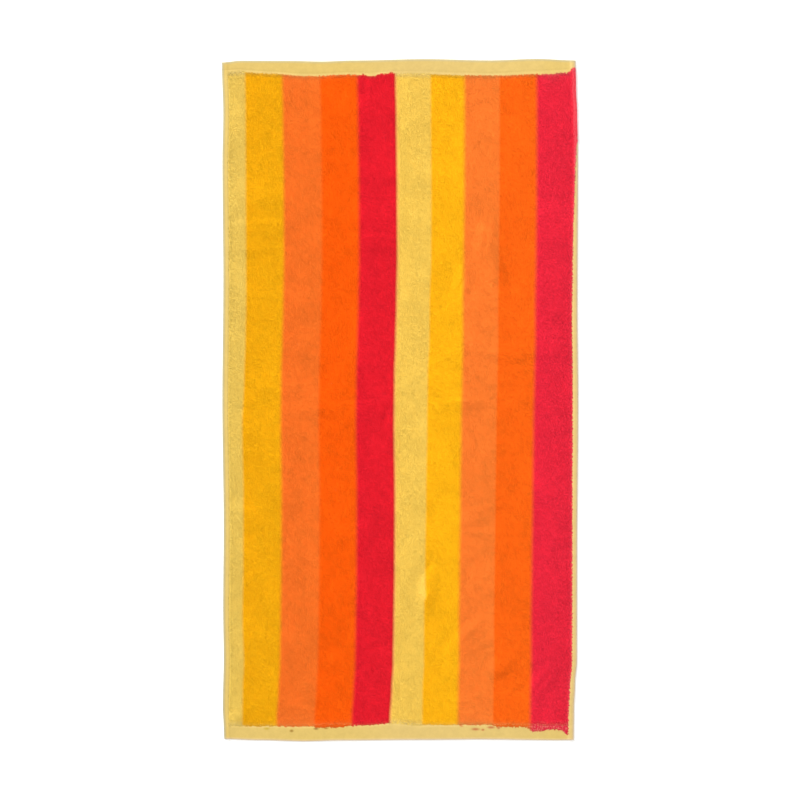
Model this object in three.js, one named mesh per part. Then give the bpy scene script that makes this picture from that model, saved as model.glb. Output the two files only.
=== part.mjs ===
// Hand towel of cut-pile cotton velour, laid out flat as one layer: one cloth with a flat-woven hem
// band at each end and a narrow stitched hem down each long side.
// Millimetres, +Z up. X runs across the towel and Y along it. The origin is on the surface that the
// towel lies on, under its middle.
import * as THREE from "three";

// Overall size, between straight lines that the edges wander about
const LENGTH = 960;
const WIDTH = 500;

// Heights of the cloth where it lies on the surface
const PILE_HEIGHT = 3.6;
const END_HEM_HEIGHT = 2.2;
const SIDE_HEM_HEIGHT = 3.2;
const STITCH_GROOVE_HEIGHT = 2.5;

// The pile stops this far short of its full height at the hems
const END_PILE_SLOPE = 5;
const SIDE_PILE_SLOPE = 4;

// How the outer edge rounds off, from its widest point at half height to the face and to the underside
const EDGE_INSET_ABOVE = 0.9;
const EDGE_INSET_BELOW = 0.5;
const EDGE_MIDDLE_SHARE = 0.5;
const EDGE_TOP_SHARE = 0.86;

// Evenly spaced grid lines of the pile on each side of the middle
const PILE_COLUMNS = 11;
const PILE_ROWS = 28;
const LAYERS = 2;

// Where each edge runs, as millimetres outside its straight line. The long edges go by the distance
// along the towel from its middle, the ends by the distance across it.
const LEFT_EDGE = [
  { at: -480, out: -1.6 },
  { at: -440, out: 0.2 },
  { at: -372, out: -1.2 },
  { at: -300, out: -0.3 },
  { at: -184, out: -1.1 },
  { at: 0, out: 0.9 },
  { at: 169, out: -0.5 },
  { at: 339, out: 0.8 },
  { at: 407, out: -0.4 },
  { at: 475, out: 1.5 },
];
const RIGHT_EDGE = [
  { at: -480, out: -4.8 },
  { at: -441, out: -4.3 },
  { at: -406, out: -2.8 },
  { at: -372, out: -0.2 },
  { at: -220, out: -0.1 },
  { at: 0, out: 1.5 },
  { at: 127, out: 0.4 },
  { at: 353, out: 1.2 },
  { at: 406, out: 0.1 },
  { at: 440, out: -1.3 },
  { at: 480, out: -2.2 },
];
const TOP_EDGE = [
  { at: -250, out: -3.4 },
  { at: -223, out: -0.9 },
  { at: -155, out: -1.1 },
  { at: -110, out: -2.0 },
  { at: -65, out: -0.6 },
  { at: 37, out: 1.4 },
  { at: 127, out: -0.5 },
  { at: 195, out: 1.6 },
  { at: 250, out: -0.5 },
];
const BOTTOM_EDGE = [
  { at: -250, out: -1.6 },
  { at: -200, out: 0 },
  { at: -133, out: 1.6 },
  { at: -85, out: 0.4 },
  { at: 37, out: -0.5 },
  { at: 116, out: -1.1 },
  { at: 229, out: 0.1 },
  { at: 250, out: -0.2 },
];

// How deep each hem band is, from its edge to where the pile begins
const TOP_HEM = [
  { at: -250, depth: 15 },
  { at: -181, depth: 19 },
  { at: -140, depth: 22 },
  { at: -80, depth: 20.5 },
  { at: -42, depth: 22 },
  { at: -14, depth: 20.5 },
  { at: 76, depth: 22 },
  { at: 127, depth: 22 },
  { at: 195, depth: 21 },
  { at: 250, depth: 16 },
];
const BOTTOM_HEM = [
  { at: -250, depth: 22 },
  { at: -110, depth: 24 },
  { at: -50, depth: 24.5 },
  { at: -11, depth: 27 },
  { at: 30, depth: 23.5 },
  { at: 150, depth: 22 },
  { at: 250, depth: 21 },
];
const LEFT_HEM = [
  { at: -480, depth: 9 },
  { at: 480, depth: 9 },
];
const RIGHT_HEM = [
  { at: -480, depth: 10 },
  { at: -300, depth: 9 },
  { at: 480, depth: 9 },
];

// Soft ripples where the cloth does not lie quite flat: a middle, half of its length and half of its
// width, the angle of its length from X in degrees, and its rise
const RIPPLES = [
  { x: -204, y: 243, halfLength: 42, halfWidth: 12, turn: 2, rise: 1.3 },
  { x: -212, y: 216, halfLength: 34, halfWidth: 12, turn: -2, rise: 1.1 },
  { x: -42, y: 220, halfLength: 42, halfWidth: 13, turn: -4, rise: 1.1 },
  { x: 121, y: 228, halfLength: 32, halfWidth: 13, turn: 78, rise: 1.6 },
  { x: 133, y: 180, halfLength: 36, halfWidth: 14, turn: -76, rise: 1.7 },
  { x: 87, y: 163, halfLength: 26, halfWidth: 12, turn: 72, rise: 1.2 },
  { x: 162, y: 69, halfLength: 72, halfWidth: 15, turn: -1, rise: 1.4 },
  { x: 88, y: -3, halfLength: 46, halfWidth: 13, turn: 4, rise: 1.1 },
  { x: -122, y: -14, halfLength: 38, halfWidth: 13, turn: 1, rise: 1.2 },
  { x: -34, y: -141, halfLength: 34, halfWidth: 13, turn: -50, rise: 1.3 },
  { x: 109, y: -163, halfLength: 28, halfWidth: 12, turn: 18, rise: 1.1 },
  { x: 39, y: -272, halfLength: 34, halfWidth: 12, turn: 80, rise: 1.5 },
  { x: 100, y: -329, halfLength: 30, halfWidth: 13, turn: 44, rise: 1.6 },
  { x: 142, y: -376, halfLength: 26, halfWidth: 12, turn: 34, rise: 1.3 },
  { x: 200, y: -398, halfLength: 28, halfWidth: 13, turn: 50, rise: 1.6 },
  { x: -232, y: -452, halfLength: 20, halfWidth: 11, turn: 45, rise: 1.2 },
];
// The part of each ripple's foot that presses back down on the surface
const RIPPLE_FOOT = 0.2;

/** The middle of the cloth is 0, the hem's inner line is 1 and the outer edge is 2. */
const HEM_LINE = 1;
const EDGE = 2;

/** A column of a table at a place, easing from each row to the next. */
function readTable(rows, column, place) {
  const next = rows.findIndex((row) => row.at > place);
  if (next === 0) return rows[0][column];
  if (next < 0) return rows[rows.length - 1][column];
  const before = rows[next - 1];
  const after = rows[next];
  const share = THREE.MathUtils.smoothstep(place, before.at, after.at);
  return THREE.MathUtils.lerp(before[column], after[column], share);
}

/** Stations from one edge, over the middle, to the other: even in the pile and closer at the hems. */
function stations(evenLines, half, slope, hemShares) {
  const pile = Array.from({ length: evenLines }, (_, line) => (line * (1 - (2 * slope) / half)) / evenLines);
  const side = [...pile, 1 - (2 * slope) / half, 1 - slope / half, HEM_LINE];
  side.push(...hemShares.map((share) => HEM_LINE + share), EDGE);
  const mirrored = side.slice(1).reverse();
  return [...mirrored.map((place) => -place), ...side];
}

/** Where a station lies, given the half size there and the depth of the hem. */
function placeStation(station, half, depth) {
  const reach = Math.abs(station);
  const inner = half - depth;
  const distance = reach <= HEM_LINE ? reach * inner : inner + (reach - HEM_LINE) * depth;
  return Math.sign(station) * distance;
}

/** The cloth's rise off the surface at a point, from the ripples. */
function liftAt(x, y) {
  const total = RIPPLES.reduce((sum, ripple) => {
    const turn = THREE.MathUtils.degToRad(ripple.turn);
    const along = (x - ripple.x) * Math.cos(turn) + (y - ripple.y) * Math.sin(turn);
    const across = (y - ripple.y) * Math.cos(turn) - (x - ripple.x) * Math.sin(turn);
    const fall = (along / ripple.halfLength) ** 2 + (across / ripple.halfWidth) ** 2;
    return sum + ripple.rise * Math.exp(-fall);
  }, 0);
  return Math.max(0, total - RIPPLE_FOOT);
}

/** The cloth's height across its pile and a hem, from the middle to the edge of one side. */
function heightAcross(reach, half, slope, groove, hem) {
  if (reach >= HEM_LINE) {
    return THREE.MathUtils.lerp(groove, hem, Math.sin((reach - HEM_LINE) * Math.PI));
  }
  const toHem = (HEM_LINE - reach) * half;
  return THREE.MathUtils.lerp(groove, PILE_HEIGHT, THREE.MathUtils.smoothstep(toHem, 0, 2 * slope));
}

/** The cloth's full height at a station of each direction. */
function heightAt(u, v) {
  const halfWidth = WIDTH / 2;
  const halfLength = LENGTH / 2;
  const side = heightAcross(Math.abs(u), halfWidth, SIDE_PILE_SLOPE, STITCH_GROOVE_HEIGHT, SIDE_HEM_HEIGHT);
  const end = heightAcross(Math.abs(v), halfLength, END_PILE_SLOPE, END_HEM_HEIGHT, END_HEM_HEIGHT);
  return Math.min(side, end);
}

/** A point of the skin, from two stations and a layer: 0 below, 1 at half height, 2 on top. */
function clothPoint(u, v, layer) {
  const roughX = placeStation(u, WIDTH / 2, LEFT_HEM[0].depth);
  const roughY = placeStation(v, LENGTH / 2, TOP_HEM[0].depth);
  const sideEdge = u < 0 ? LEFT_EDGE : RIGHT_EDGE;
  const sideHem = u < 0 ? LEFT_HEM : RIGHT_HEM;
  const endEdge = v < 0 ? BOTTOM_EDGE : TOP_EDGE;
  const endHem = v < 0 ? BOTTOM_HEM : TOP_HEM;
  const inset = [EDGE_INSET_BELOW, 0, EDGE_INSET_ABOVE][layer];
  const insetX = Math.abs(u) === EDGE ? inset : 0;
  const insetY = Math.abs(v) === EDGE ? inset : 0;
  const halfX = WIDTH / 2 + readTable(sideEdge, "out", roughY);
  const halfY = LENGTH / 2 + readTable(endEdge, "out", roughX);
  const x = placeStation(u, halfX, readTable(sideHem, "depth", roughY)) - Math.sign(u) * insetX;
  const y = placeStation(v, halfY, readTable(endHem, "depth", roughX)) - Math.sign(v) * insetY;
  const rim = Math.abs(u) === EDGE || Math.abs(v) === EDGE;
  const share = [0, EDGE_MIDDLE_SHARE, rim ? EDGE_TOP_SHARE : 1][layer];
  return new THREE.Vector3(x, y, liftAt(x, y) + heightAt(u, v) * share);
}

/** The towel's one closed skin: a box's grid with each point moved to its place on the cloth. */
function clothGeometry() {
  const columns = stations(PILE_COLUMNS, WIDTH / 2, SIDE_PILE_SLOPE, [0.5]);
  const rows = stations(PILE_ROWS, LENGTH / 2, END_PILE_SLOPE, [0.3, 0.92]);
  const columnSteps = columns.length - 1;
  const rowSteps = rows.length - 1;
  const geometry = new THREE.BoxGeometry(1, 1, 1, columnSteps, rowSteps, LAYERS);
  const positions = geometry.attributes.position;
  const corner = new THREE.Vector3();
  for (let index = 0; index < positions.count; index += 1) {
    corner.fromBufferAttribute(positions, index).addScalar(0.5);
    const column = Math.round(corner.x * columnSteps);
    const row = Math.round(corner.y * rowSteps);
    const layer = Math.round(corner.z * LAYERS);
    const point = clothPoint(columns[column], rows[row], layer);
    positions.setXYZ(index, point.x, point.y, point.z);
  }
  geometry.computeBoundingBox();
  const { min, max } = geometry.boundingBox;
  geometry.translate(-(min.x + max.x) / 2, -(min.y + max.y) / 2, -min.z);
  geometry.computeVertexNormals();
  return geometry;
}

const velour = new THREE.MeshStandardMaterial({ color: 0xf59a22, roughness: 0.95, metalness: 0 });
const towel = new THREE.Mesh(clothGeometry(), velour);
towel.name = "towel";

const handTowel = new THREE.Group();
handTowel.add(towel);

export default handTowel;
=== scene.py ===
import logging
import math
from collections.abc import Callable
from dataclasses import dataclass, field
from enum import Enum
from typing import Any, NamedTuple

import bmesh
import bpy
import numpy as np
from mathutils import Matrix, Vector


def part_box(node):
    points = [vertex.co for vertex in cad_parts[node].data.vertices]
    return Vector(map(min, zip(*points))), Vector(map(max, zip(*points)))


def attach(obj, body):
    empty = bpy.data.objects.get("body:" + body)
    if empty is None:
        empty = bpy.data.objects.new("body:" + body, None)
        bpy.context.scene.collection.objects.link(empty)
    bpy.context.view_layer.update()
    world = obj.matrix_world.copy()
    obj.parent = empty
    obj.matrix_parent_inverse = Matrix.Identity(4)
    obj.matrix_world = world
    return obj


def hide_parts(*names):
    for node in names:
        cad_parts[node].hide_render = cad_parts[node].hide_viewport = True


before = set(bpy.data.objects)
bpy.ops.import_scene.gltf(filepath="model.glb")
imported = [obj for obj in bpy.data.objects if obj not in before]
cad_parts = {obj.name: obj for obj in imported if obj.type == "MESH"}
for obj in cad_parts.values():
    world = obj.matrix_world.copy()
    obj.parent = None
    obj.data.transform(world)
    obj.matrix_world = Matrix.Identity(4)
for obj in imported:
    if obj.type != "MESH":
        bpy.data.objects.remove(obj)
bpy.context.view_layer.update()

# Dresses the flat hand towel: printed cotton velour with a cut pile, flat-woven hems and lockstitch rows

LOG = logging.getLogger("hand_towel")

Array, Mesh, Piece = np.ndarray, bpy.types.Mesh, bpy.types.Object
Material, Tree, Socket = bpy.types.Material, bpy.types.NodeTree, bpy.types.NodeSocket

MM = 0.001
TOWEL_NODE = "towel"
BODY = "root"

# The hem's inner line and the outer edge, as stations from the middle of the cloth
HEM_LINE = 1.0
EDGE = 2.0

# The name of the bake map that the pieces carry
BAKE_MAP = "OFBake"

# The straw dye of the bare ground, and half the width in millimetres that spilt dye fades out over
GROUND_DYE = "#C2A65C"
DYE_EDGE = 0.7

# Most of a noise texture lies between these values
NOISE_RANGE = (0.3, 0.7)

# A wave texture repeats every so many units at a scale of one
WAVE_REPEAT = 0.314


class EdgePoint(NamedTuple):
    """Where an edge runs: a place along it and millimetres outside its straight line."""

    at: float
    out: float


class HemPoint(NamedTuple):
    """How deep a hem is, or how far dye or pile reaches over it, at a place along it, in millimetres."""

    at: float
    depth: float


class Ripple(NamedTuple):
    """A soft ripple, in millimetres, its length turned from X by degrees."""

    x: float
    y: float
    half_length: float
    half_width: float
    turn: float
    rise: float


class Drift(NamedTuple):
    """How far the print wanders to the right at a place along the towel, in four parts from its left side on."""

    at: float
    far_left: float
    left: float
    middle: float
    right: float


class Fringe(NamedTuple):
    """How far pile passes a hem's line at a place along it: solid, and in teeth beyond that, in millimetres."""

    at: float
    reach: float
    tooth: float


class Blot(NamedTuple):
    """A stray spot on a hem band, in millimetres, and its colour."""

    x: float
    y: float
    half_width: float
    half_depth: float
    colour: str


class Dye(Enum):
    """The five dyes of the print."""

    STRAW = "straw"
    AMBER = "amber"
    LIGHT_ORANGE = "light_orange"
    ORANGE = "orange"
    RED = "red"


class Stripe(NamedTuple):
    """A stripe of the print: its dye, where its right border runs and how wide the dyes mix there.

    Where a rim and a gap are given, the dye is darker along the border and the ground is bare beyond it.
    """

    dye: Dye
    colour: str
    right_border: float
    mixing: float
    rim: str = ""
    gap: str = ""


class Noise(NamedTuple):
    """Smooth seeded noise over the cloth: the size of its lumps in millimetres, its seed and its strength."""

    cell: float
    seed: int
    strength: float = 1.0

    def at(self, x: Array, y: Array) -> Array:
        """Reads the noise.

        Args:
            x: Places across, in millimetres.
            y: Places along, in millimetres.

        Returns:
            Values from minus the strength to the strength.
        """
        cells = 255
        lattice = np.random.default_rng(self.seed).uniform(-1, 1, (cells + 1, cells + 1))
        column, row = np.floor(x / self.cell).astype(int), np.floor(y / self.cell).astype(int)
        right, up = smooth_share(x / self.cell - column, 0.0, 1.0), smooth_share(y / self.cell - row, 0.0, 1.0)
        column, row = column % cells, row % cells
        low = lattice[column, row] * (1 - right) + lattice[column + 1, row] * right
        high = lattice[column, row + 1] * (1 - right) + lattice[column + 1, row + 1] * right
        return self.strength * (low * (1 - up) + high * up)


class Reach(NamedTuple):
    """Half sizes of the cut and depths of its hems, in millimetres, at the points asked for."""

    half_x: Array
    side_depth: Array
    half_y: Array
    end_depth: Array


class StitchRow(NamedTuple):
    """A row of lockstitch: an end or a side of the towel, and the row's distance outside the hem line."""

    across: bool
    sign: int
    from_hem_line: float


def linear(colour: str) -> tuple[float, float, float, float]:
    """Turns an sRGB hex colour into a linear one.

    Args:
        colour: Hex text such as "#EAC355".

    Returns:
        Linear red, green, blue and an alpha of one.
    """
    parts = [int(colour[start : start + 2], 16) / 255 for start in (1, 3, 5)]
    red, green, blue = (part / 12.92 if part <= 0.04045 else ((part + 0.055) / 1.055) ** 2.4 for part in parts)
    return red, green, blue, 1.0


def add_node(
    tree: Tree, kind: str, settings: dict[str | int, Any] | None = None, links: dict[str | int, Socket] | None = None
) -> bpy.types.Node:
    """Adds a node with its settings and links.

    Args:
        tree: Tree that gets the node.
        kind: The node's type.
        settings: Properties by name, and values of inputs by name or number.
        links: Outputs that feed the node's inputs, by the input's name or number.

    Returns:
        The new node.
    """
    node = tree.nodes.new(kind)
    for key, value in (settings or {}).items():
        if isinstance(key, str) and hasattr(node, key):
            setattr(node, key, value)
        else:
            node.inputs[key].default_value = value
    for key, source in (links or {}).items():
        tree.links.new(source, node.inputs[key])
    return node


def smooth_share(value: Array, low: float | Array, high: float | Array) -> Array:
    """Eases from 0 at low to 1 at high."""
    share = np.clip((value - low) / (high - low), 0, 1)
    return share * share * (3 - 2 * share)


def rows_of(kind: Callable[..., Any], *rows: tuple[Any, ...]) -> tuple[Any, ...]:
    """Makes a table whose rows are all of one kind."""
    return tuple(kind(*row) for row in rows)


def read_table(rows: tuple[NamedTuple, ...], place: Array, column: int = 1) -> Array:
    """Reads a column of a table at many places, easing from each row to the next.

    Args:
        rows: Rows whose first column is the place.
        place: Places to read at.
        column: Column to read.

    Returns:
        The column's value at each place.
    """
    at = np.array([row[0] for row in rows])
    values = np.array([row[column] for row in rows])
    after = np.clip(np.searchsorted(at, place, side="right"), 1, len(rows) - 1)
    share = smooth_share(place, at[after - 1], at[after])
    return values[after - 1] + (values[after] - values[after - 1]) * share


@dataclass(frozen=True)
class TowelCut:
    """The towel's cut and how it lies, in millimetres about its middle: X across it, Y along it."""

    length: float = 960
    width: float = 500
    ground_height: float = 2.2
    end_hem_height: float = 2.3
    side_hem_height: float = 3.2
    groove_height: float = 2.1
    ripple_foot: float = 0.2
    rough_side_hem: float = 9
    rough_end_hem: float = 15
    mean_end_hem: float = 21
    left_edge: tuple[EdgePoint, ...] = rows_of(
        EdgePoint, (-480, -1.6), (-440, 0.2), (-372, -1.2), (-300, -0.3), (-184, -1.1), (0, 0.9), (169, -0.5),
        (339, 0.8), (407, -0.4), (475, 1.5)
    )
    right_edge: tuple[EdgePoint, ...] = rows_of(
        EdgePoint, (-480, -4.8), (-441, -4.3), (-406, -2.8), (-372, -0.2), (-220, -0.1), (0, 1.5), (127, 0.4),
        (353, 1.2), (406, 0.1), (440, -1.3), (480, -2.2)
    )
    top_edge: tuple[EdgePoint, ...] = rows_of(
        EdgePoint, (-250, -3.4), (-223, -0.9), (-155, -1.1), (-110, -2.0), (-65, -0.6), (37, 1.4), (127, -0.5),
        (195, 1.6), (250, -0.5)
    )
    bottom_edge: tuple[EdgePoint, ...] = rows_of(
        EdgePoint, (-250, -1.6), (-200, 0), (-133, 1.6), (-85, 0.4), (37, -0.5), (116, -1.1), (229, 0.1), (250, -0.2)
    )
    top_hem: tuple[HemPoint, ...] = rows_of(
        HemPoint, (-250, 15), (-181, 19), (-140, 22), (-80, 20.5), (-42, 22), (-14, 20.5), (76, 22), (127, 22),
        (195, 21), (250, 16)
    )
    bottom_hem: tuple[HemPoint, ...] = rows_of(
        HemPoint, (-250, 22), (-110, 24), (-50, 24.5), (-11, 27), (30, 23.5), (150, 22), (250, 21)
    )
    left_hem: tuple[HemPoint, ...] = rows_of(HemPoint, (-480, 9), (480, 9))
    right_hem: tuple[HemPoint, ...] = rows_of(HemPoint, (-480, 10), (-300, 9), (480, 9))
    ripples: tuple[Ripple, ...] = rows_of(
        Ripple, (-204, 243, 42, 12, 2, 1.3), (-212, 216, 34, 12, -2, 1.1), (-42, 220, 42, 13, -4, 1.1),
        (121, 228, 32, 13, 78, 1.6), (133, 180, 36, 14, -76, 1.7), (87, 163, 26, 12, 72, 1.2),
        (162, 69, 72, 15, -1, 1.4), (88, -3, 46, 13, 4, 1.1), (-122, -14, 38, 13, 1, 1.2),
        (-34, -141, 34, 13, -50, 1.3), (109, -163, 28, 12, 18, 1.1), (39, -272, 34, 12, 80, 1.5),
        (100, -329, 30, 13, 44, 1.6), (142, -376, 26, 12, 34, 1.3), (200, -398, 28, 13, 50, 1.6),
        (-232, -452, 20, 11, 45, 1.2)
    )
    # Fine lines that only the face shows: pressed in where the rise is negative
    creases: tuple[Ripple, ...] = rows_of(
        Ripple, (-206, 242, 40, 4, 0, -0.3), (-213, 219, 32, 4, 0, -0.25), (121, 226, 24, 5, 80, -0.7),
        (86, 161, 16, 5, 72, -0.6), (136, 158, 14, 5, 75, -0.3), (138, 72, 45, 4, -2, -0.5), (76, 4, 34, 4, 2, -0.4),
        (-20, -25, 12, 5, 80, -0.5), (116, -161, 26, 5, 12, -0.45), (41, -234, 10, 4, 60, -0.5),
        (104, -331, 22, 5, 42, -0.5), (202, -397, 22, 5, 52, -0.6), (-40, 230, 42, 4, -4, 0.35),
        (180, 90, 66, 5, 0, 0.25), (184, 42, 56, 4, 0, 0.25), (48, 50, 28, 4, 32, 0.25), (-47, -155, 30, 4, -32, 0.5),
        (121, -189, 30, 6, 0, 0.5), (38, -279, 14, 4, 82, 0.2), (110, -347, 24, 5, 27, 0.4),
        (184, -370, 62, 5, 17, 0.25), (-226, -14, 6, 5, 0, -0.4), (-226, -195, 6, 5, 0, -0.4),
        (-161, -198, 6, 5, 0, -0.4), (-40, -342, 8, 6, 0, 0.5), (-42, 443, 12, 6, 90, 0.5), (-189, 282, 20, 6, 0, 0.4)
    )

    @staticmethod
    def at_station(station: Array, half: Array | float, depth: Array | float) -> Array:
        """Turns stations into places.

        Args:
            station: Stations.
            half: Half size of the cut there.
            depth: Depth of the hem there.

        Returns:
            Millimetres from the middle.
        """
        reach = np.abs(station)
        inner = half - depth
        distance = np.where(reach <= HEM_LINE, reach * inner, inner + (reach - HEM_LINE) * depth)
        return np.sign(station) * distance

    @staticmethod
    def station_at(place: Array, half: Array | float, depth: Array | float) -> Array:
        """Turns places into stations.

        Args:
            place: Millimetres from the middle.
            half: Half size of the cut there.
            depth: Depth of the hem there.

        Returns:
            Stations.
        """
        distance = np.abs(place)
        inner = half - depth
        reach = np.where(distance <= inner, distance / inner, HEM_LINE + (distance - inner) / depth)
        return np.sign(place) * reach

    def reach(self, x: Array, y: Array) -> Reach:
        """How far the cut and its hems reach, as seen from points on the cloth.

        Args:
            x: Places across.
            y: Places along.

        Returns:
            The reach at each point.
        """
        left, right = read_table(self.left_edge, y), read_table(self.right_edge, y)
        top, bottom = read_table(self.top_edge, x), read_table(self.bottom_edge, x)
        return Reach(
            half_x=self.width / 2 + np.where(x < 0, left, right),
            side_depth=np.where(x < 0, read_table(self.left_hem, y), read_table(self.right_hem, y)),
            half_y=self.length / 2 + np.where(y < 0, bottom, top),
            end_depth=np.where(y < 0, read_table(self.bottom_hem, x), read_table(self.top_hem, x)),
        )

    def place(self, u: Array, v: Array) -> tuple[Array, Array]:
        """Where the cloth's stations lie.

        Args:
            u: Stations across, 0 in the middle, 1 on the hem's inner line and 2 on the edge.
            v: Stations along, in the same way.

        Returns:
            X and Y of each station.
        """
        rough_x = self.at_station(u, self.width / 2, self.rough_side_hem)
        rough_y = self.at_station(v, self.length / 2, self.rough_end_hem)
        reach = self.reach(rough_x, rough_y)
        x = self.at_station(u, reach.half_x, reach.side_depth)
        y = self.at_station(v, reach.half_y, reach.end_depth)
        return x, y

    def stations(self, x: Array, y: Array) -> tuple[Array, Array]:
        """Where points of the cloth lie in stations.

        Args:
            x: Places across.
            y: Places along.

        Returns:
            Stations across and along.
        """
        reach = self.reach(x, y)
        u = self.station_at(x, reach.half_x, reach.side_depth)
        v = self.station_at(y, reach.half_y, reach.end_depth)
        return u, v

    def past_lines(self, x: Array, y: Array) -> tuple[Array, Array]:
        """Millimetres past the side and end hem lines, negative inside them."""
        reach = self.reach(x, y)
        return np.abs(x) - reach.half_x + reach.side_depth, np.abs(y) - reach.half_y + reach.end_depth

    @staticmethod
    def total_rise(ripples: tuple[Ripple, ...], x: Array, y: Array) -> Array:
        """Sums the ripples' soft swells.

        Args:
            ripples: Ripples or creases.
            x: Places across.
            y: Places along.

        Returns:
            Millimetres that they raise each point by.
        """
        total = np.zeros_like(x)
        for ripple in ripples:
            turn = math.radians(ripple.turn)
            along = (x - ripple.x) * math.cos(turn) + (y - ripple.y) * math.sin(turn)
            across = (y - ripple.y) * math.cos(turn) - (x - ripple.x) * math.sin(turn)
            total += ripple.rise * np.exp(-((along / ripple.half_length) ** 2) - (across / ripple.half_width) ** 2)
        return total

    def lift(self, x: Array, y: Array) -> Array:
        """How far the ripples raise the cloth off the surface."""
        return np.maximum(0, self.total_rise(self.ripples, x, y) - self.ripple_foot)

    def swell(self, x: Array, y: Array) -> Array:
        """How far ripples and creases together raise the cloth's face."""
        return self.lift(x, y) + self.total_rise(self.creases, x, y)

    def slope(self, x: Array, y: Array) -> tuple[Array, Array]:
        """How steeply the cloth's face rises.

        Args:
            x: Places across.
            y: Places along.

        Returns:
            The rise to the right and to the top.
        """
        step = 0.5
        right = self.swell(x + step, y) - self.swell(x - step, y)
        top = self.swell(x, y + step) - self.swell(x, y - step)
        return right / (2 * step), top / (2 * step)

    def height(self, u: Array, v: Array) -> Array:
        """Height of the ground cloth, without its pile, over a hem's groove, crown and fold.

        Args:
            u: Stations across.
            v: Stations along.

        Returns:
            Millimetres above its underside.
        """
        side_hem = np.clip(np.abs(u) - HEM_LINE, 0, 1)
        side = self.groove_height + (self.side_hem_height - self.groove_height) * np.sin(side_hem * math.pi)
        ground = np.where(np.abs(v) > HEM_LINE, self.end_hem_height, self.ground_height)
        return np.where(np.abs(u) > HEM_LINE, side, ground)


@dataclass(frozen=True)
class Print:
    """The printed stripes: borders in millimetres from the middle, and how the print wanders along the towel."""

    # Each dye's second stripe, on the right, is drawn a little lighter and paler than its first: painted light, for
    # light falling stronger on the right half
    stripes: tuple[Stripe, ...] = rows_of(
        Stripe, (Dye.STRAW, "#E3C25C", -220.6, 4.2), (Dye.AMBER, "#EBAC0A", -167.3, 5.6),
        (Dye.LIGHT_ORANGE, "#EF7526", -113.6, 4.2), (Dye.ORANGE, "#F46104", -61.4, 5.6),
        (Dye.RED, "#E21D2E", -7.6, 5.2, "#B02A12", "#FFB468"), (Dye.STRAW, "#EEC858", 39.0, 3.2),
        (Dye.AMBER, "#F7B812", 86.6, 6.0), (Dye.LIGHT_ORANGE, "#F58130", 136.3, 2.8),
        (Dye.ORANGE, "#F76C11", 188.6, 6.0), (Dye.RED, "#E92941", 252.0, 2.0)
    )
    left_border: float = -252.0
    drifts: tuple[Drift, ...] = rows_of(
        Drift, (-450, -1.6, -6.6, -7.6, -4.9), (-407, -1.2, -4.0, -7.3, -4.4), (-373, 0.4, -2.0, -5.4, -3.4),
        (-305, -1.6, -1.0, -5.2, -3.6), (-286, -1.3, -0.7, -5.0, -3.3), (-277, -1.1, -0.5, -2.8, -3.1),
        (-262, -0.8, -0.2, -3.2, -2.9), (-237, -0.5, 0.0, -3.6, -2.6), (-136, -0.2, 0.4, -2.2, -1.4),
        (-37, -1.9, -0.8, -0.7, -0.2), (35, 1.0, -0.2, 0.1, 1.2), (85, 2.6, 1.3, 2.4, 2.4), (136, 3.6, 2.6, 2.7, 2.2),
        (203, 3.5, 3.7, 5.0, 3.4), (290, 3.2, 3.4, 5.2, 4.2), (407, 2.8, 2.2, 4.5, 4.6), (449, 2.2, 1.2, 4.2, 4.4)
    )
    # Between these pairs of places across the towel one part of the drift gives way to the next
    drift_changes: tuple[tuple[float, float], ...] = ((-215.0, -172.0), (-8.0, 39.0), (39.0, 87.0))

    def borders(self) -> Array:
        """The stripes' borders from the left to the right."""
        return np.array([self.left_border] + [stripe.right_border for stripe in self.stripes])

    def across(self, x: Array, y: Array) -> Array:
        """Where points of the cloth lie across the print, with its wandering taken out.

        Args:
            x: Places across.
            y: Places along.

        Returns:
            Millimetres from the print's middle.
        """
        drift = read_table(self.drifts, y, 1)
        for number, (start, end) in enumerate(self.drift_changes, 2):
            after = read_table(self.drifts, y, number)
            drift = drift + (after - read_table(self.drifts, y, number - 1)) * smooth_share(x, start, end)
        return x - drift

    def dye_at(self, across: Array) -> Array:
        """Finds the dye at places across the print.

        Args:
            across: Millimetres from the print's middle.

        Returns:
            The number of each place's dye.
        """
        numbers = {dye: number for number, dye in enumerate(Dye)}
        own = np.array([numbers[stripe.dye] for stripe in self.stripes])
        stripe = np.searchsorted(self.borders(), across) - 1
        return own[np.clip(stripe, 0, len(own) - 1)]


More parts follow.
